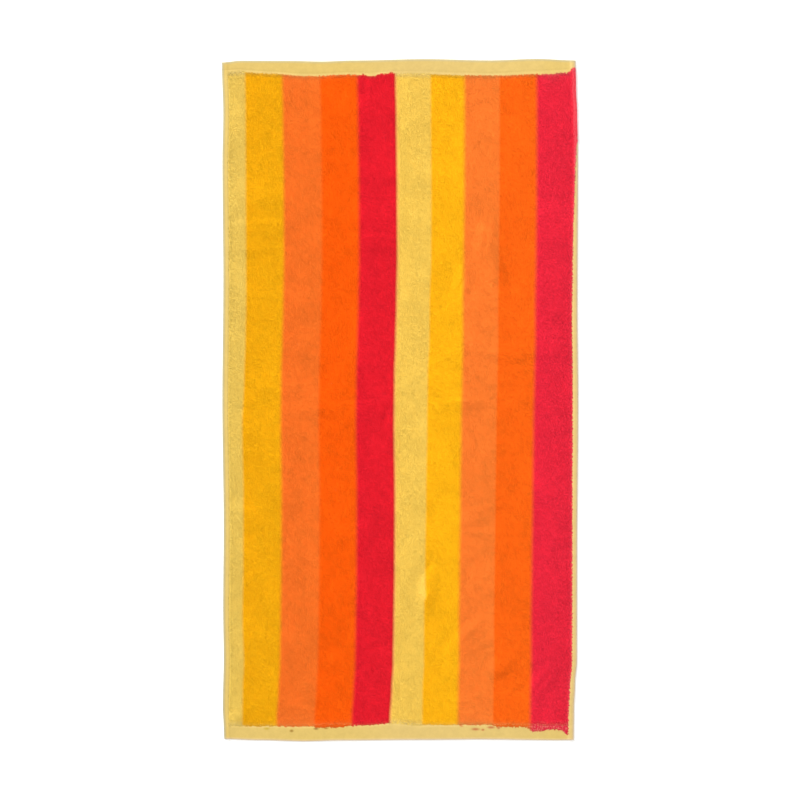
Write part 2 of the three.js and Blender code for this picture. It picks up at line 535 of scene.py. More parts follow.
@dataclass(frozen=True)
class Coverage:
    """How far pile and dye reach past the hem lines, in millimetres."""

    # Share of the ground that shows in patches of the dye spilt at the bottom, and where across they set in
    missed: float = 0.22
    missed_from: tuple[float, float] = (172.0, 190.0)
    # Millimetres past the pile's end between which the ground comes in sight
    in_sight_from: tuple[float, float] = (-1.5, 0.5)
    right_pile: tuple[HemPoint, ...] = rows_of(
        HemPoint, (-480, 2.1), (-200, 2.1), (-60, 1.1), (100, 1.1), (200, 1.9), (240, 2.6), (280, 3.7), (320, 4.9),
        (350, 6.3), (380, 10.5), (400, 12.0), (480, 12.0)
    )
    left_pile: float = 0.5
    top_pile: tuple[Fringe, ...] = rows_of(
        Fringe, (-250, 0.2, 0.0), (-110, 0.2, 0.6), (-62, 0.2, 0.8), (-56, -0.5, 1.6), (-53.5, 1.0, 1.6),
        (-50, 1.0, 1.6), (-47, -0.9, 1.4), (-34, -0.9, 1.4), (-30, 0.6, 2.2), (-12, 1.0, 2.2), (-6, 0.2, 0.6),
        (42, 0.2, 0.5), (48, -0.35, 0.5), (88, -0.35, 0.4), (94, 0.1, 0.4), (136, 0.0, 0.5), (146, -1.0, 0.9),
        (184, -1.1, 0.9), (193, -1.7, 1.6), (238, -1.7, 1.6), (242, 3.8, 1.4), (244.5, 5.2, 1.2), (250, 5.6, 0.8)
    )
    tooth_pitch: float = 6.8
    tooth_wander: Noise = Noise(17.0, 41, 1.8)
    tooth_noise: Noise = Noise(10.0, 42, 0.5)
    tooth_middle: float = 0.45
    tooth_beat: float = 0.3
    bottom_pile: tuple[HemPoint, ...] = rows_of(
        HemPoint, (-250, 2.6), (-226, 2.6), (-218, 2.3), (-178, 2.2), (-170, 2.6), (-124, 2.6), (-116, 2.0),
        (-72, 2.0), (-64, 3.0), (-18, 3.0), (-10, 3.6), (28, 3.2), (36, 2.2), (80, 2.2), (88, 1.0), (186, 1.0),
        (194, 0.3), (250, 0.2)
    )
    bottom_dye: tuple[HemPoint, ...] = rows_of(
        HemPoint, (-250, 2.8), (-178, 2.6), (-170, 3.2), (-122, 3.2), (-117, 5.6), (-84, 5.6), (-72, 4.4), (-64, 3.4),
        (-18, 3.4), (-10, 3.6), (30, 3.2), (36, 2.4), (84, 2.4), (92, 2.0), (130, 2.0), (138, 4.3), (180, 4.2),
        (186, 9.6), (203, 9.0), (209, 6.8), (223, 6.4), (229, 8.4), (236, 14.2), (240, 12.4), (250, 0.0)
    )

    def top_fringe(self, x: Array) -> Array:
        """How far the pile passes the top hem's line, with its teeth.

        Args:
            x: Places across.

        Returns:
            Millimetres past the line.
        """
        beat = np.sin(2 * math.pi * x / self.tooth_pitch + self.tooth_wander.at(x, x * 0))
        wave = np.clip(self.tooth_middle + self.tooth_beat * beat + self.tooth_noise.at(x, x * 0), 0, 1)
        return read_table(self.top_pile, x, 1) + read_table(self.top_pile, x, 2) * wave

    def past_end_pile(self, x: Array, y: Array, past_end: Array) -> Array:
        """Millimetres past the pile's upper or lower end, negative inside it."""
        return past_end - np.where(y > 0, self.top_fringe(x), read_table(self.bottom_pile, x))

    def past_side_pile(self, x: Array, y: Array, past_side: Array) -> Array:
        """Millimetres past the pile's left or right side, negative inside it."""
        return past_side - np.where(x > 0, read_table(self.right_pile, y), self.left_pile)

    def past_pile(self, x: Array, y: Array, past_side: Array, past_end: Array) -> Array:
        """How far points lie outside the pile.

        Args:
            x: Places across.
            y: Places along.
            past_side: Millimetres past the side hem's line, negative inside it.
            past_end: Millimetres past the end hem's line, negative inside it.

        Returns:
            Millimetres outside the pile, negative inside it.
        """
        return np.maximum(self.past_side_pile(x, y, past_side), self.past_end_pile(x, y, past_end))

    def past_dye(self, x: Array, y: Array, past_side: Array, past_end: Array) -> Array:
        """How far points lie outside the dye, which spills past the pile at the bottom; see past_pile."""
        past_end_dye = past_end - np.where(y > 0, read_table(self.top_pile, x, 1), read_table(self.bottom_dye, x))
        return np.maximum(self.past_side_pile(x, y, past_side), past_end_dye)


def ends(side: str, pair: tuple[float, float]) -> dict[str, float]:
    """The two ends of a range node's "From" or "To" side."""
    return {f"{side} Min": pair[0], f"{side} Max": pair[1]}


@dataclass(frozen=True)
class Finish:
    """A surface: what it is made of, and the values of its shader's own sockets."""

    name: str = ""
    colour: str = "#FFFFFF"
    roughness: float = 1.0
    specular: float = 0.5
    sheen: float = 0.0
    sheen_roughness: float = 0.5
    sheen_tint: str = "#FFFFFF"

    def links(self, tree: Tree) -> dict[str, Socket]:
        """Adds what feeds the shader; a plain finish has nothing of the kind."""
        return {}

    def material(self) -> Material:
        """Makes the finish's material.

        Returns:
            The material.
        """
        material = bpy.data.materials.new(self.name)
        material.use_nodes = True
        tree = material.node_tree
        tree.nodes.clear()
        values = {
            "Base Color": linear(self.colour),
            "Roughness": self.roughness,
            "Specular IOR Level": self.specular,
            "Sheen Weight": self.sheen,
            "Sheen Roughness": self.sheen_roughness,
            "Sheen Tint": linear(self.sheen_tint),
        }
        shader = add_node(tree, "ShaderNodeBsdfPrincipled", values, self.links(tree))
        add_node(tree, "ShaderNodeOutputMaterial", links={"Surface": shader.outputs["BSDF"]})
        return material


@dataclass(frozen=True)
class PrintedCotton(Finish):
    """What every printed surface shares: the dyes, which give the eye five bold stripes, twice over."""

    # Where a border's dark rim and its bare gap begin, as shares of half the width that the dyes mix over
    rim_from: float = -0.35
    gap_from: float = 0.1
    pattern: Print = field(default_factory=Print)

    def dyes(self, tree: Tree) -> Socket:
        """Adds the colour of the stripes, with soft borders as wide as the dyes mix there.

        Args:
            tree: Tree that gets the nodes.

        Returns:
            The colour.
        """
        stripes, borders = self.pattern.stripes, self.pattern.borders()
        stops = [(borders[0], stripes[0].colour)]
        for border, here, after in zip(borders[1:], stripes, stripes[1:]):
            half = here.mixing / 2
            stops.append((border - half, here.colour))
            if here.rim:
                stops += [(border + self.rim_from * half, here.rim), (border + self.gap_from * half, here.gap)]
            stops.append((border + half, after.colour))
        stops.append((borders[-1], stripes[-1].colour))
        across = add_node(tree, "ShaderNodeAttribute", {"attribute_name": "across"})
        share = add_node(
            tree,
            "ShaderNodeMapRange",
            {"From Min": borders[0], "From Max": borders[-1]},
            {"Value": across.outputs["Fac"]},
        )
        ramp = add_node(tree, "ShaderNodeValToRGB", links={"Fac": share.outputs["Result"]})
        elements = ramp.color_ramp.elements
        for place, _ in stops[1:-1]:
            elements.new((place - borders[0]) / (borders[-1] - borders[0]))
        for element, (_, colour) in zip(elements, stops):
            element.color = linear(colour)
        return ramp.outputs["Color"]


@dataclass(frozen=True)
class ShadedCotton(PrintedCotton):
    """Printed cotton whose drawn tone carries painted light and shade, with a random mottle: lighter and darker,
    paler mostly with painted light and sheen, and greyer with painted shade.
    """

    # The pale tint, mostly of painted light and sheen, and the grey of painted shade
    rubbed: str = "#FFE6D6"
    worn: str = "#B3B39B"

    def toned(self, tree: Tree, colour: Socket) -> Socket:
        """Makes a colour lighter and darker with painted light and shade and a random mottle, paler mostly with
        painted light and sheen, and greyer with painted shade.

        Args:
            tree: Tree that gets the nodes.
            colour: Colour to change.

        Returns:
            The changed colour.
        """
        nap, rub, wear = (
            add_node(tree, "ShaderNodeAttribute", {"attribute_name": name}) for name in ("nap", "rub", "wear")
        )
        tone = add_node(
            tree, "ShaderNodeHueSaturation", links={"Color": colour, "Value": nap.outputs["Fac"]}
        ).outputs["Color"]
        for share, shade in ((rub, self.rubbed), (wear, self.worn)):
            tone = add_node(
                tree, "ShaderNodeMix", {"data_type": "RGBA", 7: linear(shade)}, {0: share.outputs["Fac"], 6: tone}
            ).outputs[2]
        return tone


@dataclass(frozen=True)
class CutPileVelour(ShadedCotton):
    """Sheared cotton velour pile: quite matt, pale where it is thin, and drawn paler with painted sheen where it is
    seen from the side.
    """

    name: str = "cotton velour, cut pile"
    roughness: float = 0.95
    specular: float = 0.1
    sheen: float = 0.12
    sheen_roughness: float = 0.45
    sheen_tint: str = "#FFD29C"
    # Painted sheen: the pink-white tint that pales the pile
    rubbed: str = "#FFDEE3"
    thin: str = "#D9C07C"

    def links(self, tree: Tree) -> dict[str, Socket]:
        """Adds the dyes, the ground that shows through where the pile is thin, and the tone with its painted light
        and shade.

        Args:
            tree: Tree that gets the nodes.

        Returns:
            What feeds the shader, by the socket's name.
        """
        thinness = add_node(tree, "ShaderNodeAttribute", {"attribute_name": "thinness"})
        covered = add_node(
            tree,
            "ShaderNodeMix",
            {"data_type": "RGBA", 7: linear(self.thin)},
            {0: thinness.outputs["Fac"], 6: self.dyes(tree)},
        )
        return {"Base Color": self.toned(tree, covered.outputs[2])}


@dataclass(frozen=True)
class FlatWeave(ShadedCotton):
    """Flat cotton weave of the hem bands: matt with a fine square grain, dyed straw, with spilt dye."""

    name: str = "cotton plain weave, piece dyed"
    roughness: float = 0.9
    specular: float = 0.15
    sheen: float = 0.06
    # The real threads are 0.5 mm apart, too fine to show, so the grain is drawn twice as coarse
    thread_spacing: float = 1.0
    ragged: float = 1.5
    # Flat weave takes the light that pile swallows, so its dye is drawn deeper, and deepest at its fringe
    dye_depth: float = 0.6
    fringe_depth: float = 0.46
    # Millimetres past the dye's end that its fringe darkens over
    fringe_from: tuple[float, float] = (-2.4, -0.4)
    stray_size: float = 3.0
    missed: str = "#E8AE90"
    patch_size: float = 2.2
    # Values of the noise between which a patch is missed by the dye
    missed_from: tuple[float, float] = (0.5, 0.62)
    # Soft patches: their size, and the share they lighten and darken by
    mottles: tuple[tuple[float, float], ...] = ((9.0, 0.03), (3.2, 0.024))
    blots: tuple[Blot, ...] = rows_of(
        Blot, (-188, -463.4, 4.0, 1.9, "#B0922A"), (-153, -466.8, 2.7, 2.0, "#86601C"),
        (-118.4, -463.8, 3.4, 1.4, "#80501A"), (-104.5, -463.2, 3.2, 1.2, "#96601A"), (87, -460, 2.4, 1.1, "#B86830"),
        (106.5, -464.4, 5.6, 1.9, "#A84E24"), (117, -465.3, 2.4, 1.5, "#A84E24"),
        (128.5, -461.8, 5.2, 1.9, "#A84E24"), (139, -462.5, 2.4, 1.8, "#A84A20"), (183, -463.5, 1.7, 1.4, "#A8421C")
    )
    blot_strength: float = 0.8
    # A spot fades out between these distances from its middle, in shares of its half size
    blot_rim: tuple[float, float] = (1.4, 0.4)
    thread_relief: float = 0.15

    def spilt(self, tree: Tree) -> Socket:
        """Adds the straw ground and the dye that has spilt on it, ragged, patchy and dark along its fringe.

        Args:
            tree: Tree that gets the nodes.

        Returns:
            The colour.
        """
        where = add_node(tree, "ShaderNodeTexCoord").outputs["Object"]
        bare = add_node(tree, "ShaderNodeAttribute", {"attribute_name": "bare"})
        stray = add_node(
            tree, "ShaderNodeTexNoise", {"Scale": 1 / (self.stray_size * MM), "Detail": 2.0}, {"Vector": where}
        )
        shift = add_node(
            tree,
            "ShaderNodeMapRange",
            {**ends("From", NOISE_RANGE), "To Min": -self.ragged, "To Max": self.ragged},
            {"Value": stray.outputs["Fac"]},
        )
        outside = add_node(
            tree, "ShaderNodeMath", {"operation": "ADD"}, {0: bare.outputs["Fac"], 1: shift.outputs["Result"]}
        )
        fringe = ends("From", self.fringe_from) | ends("To", (self.dye_depth, self.fringe_depth))
        depth = add_node(tree, "ShaderNodeMapRange", fringe, {"Value": outside.outputs[0]})
        in_sight = add_node(tree, "ShaderNodeAttribute", {"attribute_name": "in_sight"})
        value = add_node(
            tree,
            "ShaderNodeMapRange",
            {"To Min": 1.0},
            {"Value": in_sight.outputs["Fac"], "To Max": depth.outputs["Result"]},
        )
        dye = add_node(
            tree, "ShaderNodeHueSaturation", links={"Color": self.dyes(tree), "Value": value.outputs["Result"]}
        )
        patches = add_node(
            tree, "ShaderNodeTexNoise", {"Scale": 1 / (self.patch_size * MM), "Detail": 1.0}, {"Vector": where}
        )
        most = add_node(tree, "ShaderNodeAttribute", {"attribute_name": "missed"})
        missed = add_node(
            tree,
            "ShaderNodeMapRange",
            {**ends("From", self.missed_from), "To Min": 0.0},
            {"Value": patches.outputs["Fac"], "To Max": most.outputs["Fac"]},
        )
        patchy = add_node(
            tree,
            "ShaderNodeMix",
            {"data_type": "RGBA", 7: linear(self.missed)},
            {0: missed.outputs["Result"], 6: dye.outputs["Color"]},
        )
        beyond = add_node(
            tree,
            "ShaderNodeMapRange",
            {"interpolation_type": "SMOOTHSTEP", "From Min": -DYE_EDGE, "From Max": DYE_EDGE},
            {"Value": outside.outputs[0]},
        )
        mixed = add_node(
            tree,
            "ShaderNodeMix",
            {"data_type": "RGBA", 7: linear(GROUND_DYE)},
            {0: beyond.outputs["Result"], 6: patchy.outputs[2]},
        )
        return self.blotted(tree, mixed.outputs[2])

    def mottled(self, tree: Tree, colour: Socket) -> Socket:
        """Makes a colour lighter and darker in soft patches, as uneven weaving does.

        Args:
            tree: Tree that gets the nodes.
            colour: Colour to change.

        Returns:
            The changed colour.
        """
        where = add_node(tree, "ShaderNodeTexCoord").outputs["Object"]
        tone = colour
        for size, share in self.mottles:
            patches = add_node(
                tree, "ShaderNodeTexNoise", {"Scale": 1 / (size * MM), "Detail": 1.0}, {"Vector": where}
            )
            value = add_node(
                tree,
                "ShaderNodeMapRange",
                {**ends("From", NOISE_RANGE), "To Min": 1 - share, "To Max": 1 + share},
                {"Value": patches.outputs["Fac"]},
            )
            tone = add_node(
                tree, "ShaderNodeHueSaturation", links={"Color": tone, "Value": value.outputs["Result"]}
            ).outputs["Color"]
        return tone

    def blotted(self, tree: Tree, colour: Socket) -> Socket:
        """Lays the stray spots over a colour, each an ellipse with a soft rim.

        Args:
            tree: Tree that gets the nodes.
            colour: Colour below the spots.

        Returns:
            The colour with the spots.
        """
        place = add_node(tree, "ShaderNodeAttribute", {"attribute_name": "place"}).outputs["Vector"]
        for blot in self.blots:
            near = add_node(
                tree, "ShaderNodeVectorMath", {"operation": "SUBTRACT", 1: (blot.x, blot.y, 0)}, {0: place}
            )
            scaled = add_node(
                tree,
                "ShaderNodeVectorMath",
                {"operation": "MULTIPLY", 1: (1 / blot.half_width, 1 / blot.half_depth, 0)},
                {0: near.outputs["Vector"]},
            )
            span = add_node(tree, "ShaderNodeVectorMath", {"operation": "LENGTH"}, {0: scaled.outputs["Vector"]})
            share = add_node(
                tree,
                "ShaderNodeMapRange",
                {**ends("From", self.blot_rim), "To Max": self.blot_strength},
                {"Value": span.outputs["Value"]},
            )
            colour = add_node(
                tree,
                "ShaderNodeMix",
                {"data_type": "RGBA", 7: linear(blot.colour)},
                {0: share.outputs["Result"], 6: colour},
            ).outputs[2]
        return colour

    def links(self, tree: Tree) -> dict[str, Socket]:
        """Adds the ground with its spilt dye and spots, and the square grain of the threads.

        Args:
            tree: Tree that gets the nodes.

        Returns:
            What feeds the shader, by the socket's name.
        """
        colour = self.mottled(tree, self.toned(tree, self.spilt(tree)))
        where = add_node(tree, "ShaderNodeTexCoord").outputs["Object"]
        scale = WAVE_REPEAT / (self.thread_spacing * MM)
        waves = [
            add_node(
                tree,
                "ShaderNodeTexWave",
                {"wave_type": "BANDS", "bands_direction": way, "Scale": scale, "Distortion": 0.6},
                {"Vector": where},
            )
            for way in ("X", "Y")
        ]
        grain = add_node(
            tree,
            "ShaderNodeMath",
            {"operation": "MULTIPLY"},
            {0: waves[0].outputs["Fac"], 1: waves[1].outputs["Fac"]},
        )
        bump = add_node(
            tree,
            "ShaderNodeBump",
            {"Strength": 0.5, "Distance": self.thread_relief * MM},
            {"Height": grain.outputs[0]},
        )
        return {"Base Color": colour, "Normal": bump.outputs["Normal"]}


@dataclass(frozen=True)
class LoopedBack(Finish):
    """Uncut terry loops of the back: plain straw ground, knobbly and quite matt."""

    name: str = "cotton terry, uncut loops"
    roughness: float = 0.95
    specular: float = 0.15
    sheen: float = 0.1
    loop_spacing: float = 1.8
    # Painted shade: distances from a loop's middle between which it grows darker, and how light its foot is drawn
    shaded_from: tuple[float, float] = (0.2, 0.9)
    foot: float = 0.82
    loop_relief: float = 0.6

    def links(self, tree: Tree) -> dict[str, Socket]:
        """Adds the loops, with painted shade round their feet.

        Args:
            tree: Tree that gets the nodes.

        Returns:
            What feeds the shader, by the socket's name.
        """
        where = add_node(tree, "ShaderNodeTexCoord").outputs["Object"]
        loops = add_node(
            tree,
            "ShaderNodeTexVoronoi",
            {"feature": "F1", "Scale": 1 / (self.loop_spacing * MM), "Randomness": 0.6},
            {"Vector": where},
        )
        shade = add_node(
            tree,
            "ShaderNodeMapRange",
            {**ends("From", self.shaded_from), "To Min": 1.0, "To Max": self.foot},
            {"Value": loops.outputs["Distance"]},
        )
        colour = add_node(
            tree, "ShaderNodeHueSaturation", {"Color": linear(GROUND_DYE)}, {"Value": shade.outputs["Result"]}
        )
        bump = add_node(
            tree,
            "ShaderNodeBump",
            {"Strength": 0.8, "Distance": self.loop_relief * MM, "invert": True},
            {"Height": loops.outputs["Distance"]},
        )
        return {"Base Color": colour.outputs["Color"], "Normal": bump.outputs["Normal"]}


@dataclass(frozen=True)
class SpunThread(PrintedCotton):
    """Spun sewing thread: matt, with a fine twist that shades it along its length, dyed where dye has spilt."""

    name: str = "spun polyester thread"
    colour: str = "#D2B56A"
    roughness: float = 0.7
    sheen: float = 0.1
    twist: float = 0.9
    # Painted shade: how light the thread is drawn between two plies
    between_plies: float = 0.86

    def links(self, tree: Tree) -> dict[str, Socket]:
        """Adds the thread's dye, the dye spilt on it and the shade between its plies.

        Args:
            tree: Tree that gets the nodes.

        Returns:
            What feeds the shader, by the socket's name.
        """
        bare = add_node(tree, "ShaderNodeAttribute", {"attribute_name": "bare"})
        beyond = add_node(
            tree, "ShaderNodeMapRange", {"From Min": -DYE_EDGE, "From Max": DYE_EDGE}, {"Value": bare.outputs["Fac"]}
        )
        dyed = add_node(
            tree,
            "ShaderNodeMix",
            {"data_type": "RGBA", 7: linear(self.colour)},
            {0: beyond.outputs["Result"], 6: self.dyes(tree)},
        )
        where = add_node(tree, "ShaderNodeTexCoord").outputs["Object"]
        plies = add_node(
            tree,
            "ShaderNodeTexWave",
            {"bands_direction": "DIAGONAL", "Scale": WAVE_REPEAT / (self.twist * MM)},
            {"Vector": where},
        )
        shade = add_node(
            tree, "ShaderNodeMapRange", {"To Min": self.between_plies, "To Max": 1.0}, {"Value": plies.outputs["Fac"]}
        )
        colour = add_node(
            tree, "ShaderNodeHueSaturation", links={"Color": dyed.outputs[2], "Value": shade.outputs["Result"]}
        )
        return {"Base Color": colour.outputs["Color"]}


def read_all(items: Any, key: str, width: int = 1) -> Array:
    """Reads a property of every vertex, corner or face of a mesh.

    Args:
        items: The mesh's vertices, corners or faces.
        key: The property's name.
        width: Numbers in a row; where it is one, they are whole.

    Returns:
        A number or a row for each item.
    """
    flat = np.empty(len(items) * width, dtype=np.float32 if width > 1 else np.int32)
    items.foreach_get(key, flat)
    return flat.reshape(-1, width).astype(float) if width > 1 else flat


def move_points(mesh: Mesh, points: Array) -> None:
    """Moves a mesh's vertices to rows of X, Y and Z."""
    mesh.vertices.foreach_set("co", points.astype(np.float32).ravel())
    mesh.update()


def put_attributes(mesh: Mesh, stored: dict[str, Array]) -> None:
    """Stores numbers, whole numbers or vectors for each vertex.

    Args:
        mesh: Mesh that gets the attributes.
        stored: A value or a row for each vertex, by the attribute's name.
    """
    for name, values in stored.items():
        kind = "INT" if values.dtype.kind == "i" else "FLOAT" if values.ndim == 1 else "FLOAT_VECTOR"
        layer = mesh.attributes.new(name, kind, "POINT")
        layer.data.foreach_set("vector" if values.ndim > 1 else "value", values.ravel())


def put_bake_map(mesh: Mesh, corners: Array) -> None:
    """Stores a bake map from a place in the unit square for each face corner."""
    layer = mesh.uv_layers.new(name=BAKE_MAP)
    layer.data.foreach_set("uv", corners.astype(np.float32).ravel())


def to_mesh(bm: bmesh.types.BMesh, name: str) -> Mesh:
    """Turns a finished bmesh into a mesh.

    Args:
        bm: The bmesh, which is freed.
        name: The mesh's name.

    Returns:
        The mesh.
    """
    mesh = bpy.data.meshes.new(name)
    bm.to_mesh(mesh)
    bm.free()
    return mesh


def new_piece(name: str, mesh: Mesh) -> Piece:
    """Links a new object at the origin for a mesh.

    Args:
        name: The object's name.
        mesh: What it holds.

    Returns:
        The object.
    """
    piece = bpy.data.objects.new(name, mesh)
    bpy.context.scene.collection.objects.link(piece)
    return piece


@dataclass(frozen=True)
class Planter:
    """Plants copies of one small shape on a bed of points and joins them into one mesh.

    Each point of the bed holds the "kind", "turn" and "size" of what stands on it.
    """

    shape: Mesh

    @staticmethod
    def bed(name: str, columns: int, rows: int) -> Mesh:
        """Makes a square grid of points, two units wide.

        Args:
            name: The mesh's name.
            columns: Points across.
            rows: Points along.

        Returns:
            The mesh.
        """
        bm = bmesh.new()
        bmesh.ops.create_grid(bm, x_segments=columns - 1, y_segments=rows - 1, size=1.0)
        return to_mesh(bm, name)

    def group(self, carrier: Piece, kind: int) -> Tree:
        """A node group that plants the carrier's shape on the points of one kind.

        Args:
            carrier: Object that holds the shape.
            kind: The kind of point to plant on.

        Returns:
            The group.
        """
        tree = bpy.data.node_groups.new(f"plant_kind_{kind}", "GeometryNodeTree")
        tree.interface.new_socket("Geometry", in_out="INPUT", socket_type="NodeSocketGeometry")
        tree.interface.new_socket("Geometry", in_out="OUTPUT", socket_type="NodeSocketGeometry")
        points = add_node(tree, "NodeGroupInput")
        read = "GeometryNodeInputNamedAttribute"
        own = add_node(tree, read, {"data_type": "INT", "Name": "kind"})
        chosen = add_node(
            tree,
            "FunctionNodeCompare",
            {"data_type": "INT", "operation": "EQUAL", 3: kind},
            {2: own.outputs["Attribute"]},
        )
        turn = add_node(tree, read, {"data_type": "FLOAT_VECTOR", "Name": "turn"})
        rotation = add_node(tree, "FunctionNodeEulerToRotation", links={0: turn.outputs["Attribute"]})
        size = add_node(tree, read, {"data_type": "FLOAT_VECTOR", "Name": "size"})
        shape = add_node(tree, "GeometryNodeObjectInfo", {"Object": carrier})
        planted = add_node(
            tree,
            "GeometryNodeInstanceOnPoints",
            links={
                "Points": points.outputs[0],
                "Selection": chosen.outputs["Result"],
                "Instance": shape.outputs["Geometry"],
                "Rotation": rotation.outputs[0],
                "Scale": size.outputs["Attribute"],
            },
        )
        joined = add_node(tree, "GeometryNodeRealizeInstances", links={0: planted.outputs["Instances"]})
        add_node(tree, "NodeGroupOutput", links={0: joined.outputs[0]})
        return tree

    def plant(self, bed: Mesh, kind: int, name: str) -> Mesh:
        """Plants the shape on a bed's points of one kind.

        Args:
            bed: Mesh whose vertices are the points.
            kind: The kind of point to plant on.
            name: Name of the new mesh.

        Returns:
            One mesh of all the copies.
        """
        carrier, holder = new_piece("carrier", self.shape), new_piece("holder", bed)
        holder.modifiers.new("plant", "NODES").node_group = self.group(carrier, kind)
        graph = bpy.context.evaluated_depsgraph_get()
        mesh = bpy.data.meshes.new_from_object(holder.evaluated_get(graph), depsgraph=graph)
        mesh.name = name
        for layer in ("kind", "turn", "size"):
            mesh.attributes.remove(mesh.attributes[layer])
        bpy.data.objects.remove(holder)
        bpy.data.objects.remove(carrier)
        mesh.materials.clear()
        mesh.shade_smooth()
        return mesh


class Tone(NamedTuple):
    """How light cloth is drawn, with its painted light and shade, and how much it is drawn paler, mostly with painted
    light, and greyer with painted shade.
    """

    nap: Array
    rub: Array
    wear: Array


@dataclass(frozen=True)
class HemShading:
    """How the hems' tone changes over them, painted light and shade for the most part: shares, and the widths in
    millimetres that they fade over.
    """

    # Painted shade: the rims towards the lamp are drawn darker and greyer
    left_dark: float = 0.53
    left_dark_width: float = 5.0
    top_dark: float = 0.26
    top_dark_width: float = 4.0
    near_wear: float = 0.5
    near_wear_width: float = 4.6
    # Painted light: the rims away from it, and the right hem, are drawn paler
    far_rub: float = 0.3
    far_rub_width: float = 3.6
    right_hem_rub: float = 0.07
    right_hem_fade: float = 0.2
    # Inside its crown the left hem turns away from the lamp; painted light there keeps it from showing darker
    inner_lift: float = 0.16
    inner_from_edge: float = 6.4
    inner_width: float = 1.6
    # Painted light: a pale line runs along the ends of the pile, strongest at the bottom, where the pile's shadow
    # falls on the hem
    top_halo: float = 0.05
    bottom_halo: float = 0.14
    halo_rub: float = 0.04
    halo_middle: float = 1.0
    halo_width: float = 1.5
    # Painted light: to the right and at the bottom the hems are drawn a little lighter and paler
    lighter_right: float = 0.015
    lighter_bottom: float = 0.012
    # Hems are drawn paler and get this painted light only where they are bare, from this far inside the dye to as far
    # outside it
    bare_edge: float = 1.0
    # Painted shade: the top hem is drawn a little darker towards its left; painted light: the end hems are drawn a
    # little paler from the middle to the right
    top_dim: float = 0.04
    top_dim_fades: tuple[float, float] = (60.0, 180.0)
    pale: tuple[HemPoint, ...] = rows_of(HemPoint, (-90, 0), (10, 0.03), (190, 0.03), (215, 0.01))

    def tone(self, lay: "Lay", u: Array, v: Array) -> Tone:
        """The tone of the ground cloth, with its painted light and shade.

        Args:
            lay: The cut as it lies.
            u: Stations across.
            v: Stations along.

        Returns:
            The tone at each station.
        """
        cut = lay.cut
        x, y = cut.place(u, v)
        reach = cut.reach(x, y)
        from_side = np.clip(EDGE - np.abs(u), 0, 1) * reach.side_depth
        from_end = np.clip(EDGE - np.abs(v), 0, 1) * reach.end_depth
        is_left, is_top = u < 0, v > 0
        # Painted shade on the rims towards the lamp, and painted light on the rims away from it and inside the left
        # hem's crown
        left_dark = self.left_dark * is_left * (1 - smooth_share(from_side, 0.0, self.left_dark_width))
        top_dark = self.top_dark * is_top * (1 - smooth_share(from_end, 0.0, self.top_dark_width))
        side_near = is_left * (1 - smooth_share(from_side, 0.0, self.near_wear_width))
        end_near = is_top * (1 - smooth_share(from_end, 0.0, self.near_wear_width))
        side_far = ~is_left * (1 - smooth_share(from_side, 0.0, self.far_rub_width))
        end_far = ~is_top * (1 - smooth_share(from_end, 0.0, self.far_rub_width))
        inner = np.exp(-(((from_side - self.inner_from_edge) / self.inner_width) ** 2)) * is_left
        past = cut.past_lines(x, y)
        past_pile, strength = lay.cover.past_end_pile(x, y, past[1]), lay.strength(x, y)
        bare = smooth_share(lay.cover.past_dye(x, y, *past), -self.bare_edge, self.bare_edge)
        # Painted light along the ends of the pile
        halo = np.exp(-(((past_pile - self.halo_middle) / self.halo_width) ** 2)) * (np.abs(u) < HEM_LINE) * bare
        lift = halo * np.where(is_top, self.top_halo * strength, self.bottom_halo)
        # Painted light and shade: lighter to the right and at the bottom, darker over the top hem's left part
        even = 1 + self.lighter_right * x / (cut.width / 2) - self.lighter_bottom * y / (cut.length / 2)
        even = even - self.top_dim * is_top * (np.abs(v) > HEM_LINE) * (1 - smooth_share(x, *self.top_dim_fades))
        nap = even * (1 - np.maximum(left_dark, top_dark) + self.inner_lift * inner + lift)
        rub = self.far_rub * np.maximum(side_far, end_far) + self.halo_rub * strength * halo
        rub = rub + self.right_hem_rub * smooth_share(u, HEM_LINE, HEM_LINE + self.right_hem_fade)
        rub = rub + read_table(self.pale, x) * (np.abs(v) > HEM_LINE)
        return Tone(nap, rub * bare, self.near_wear * np.maximum(side_near, end_near))


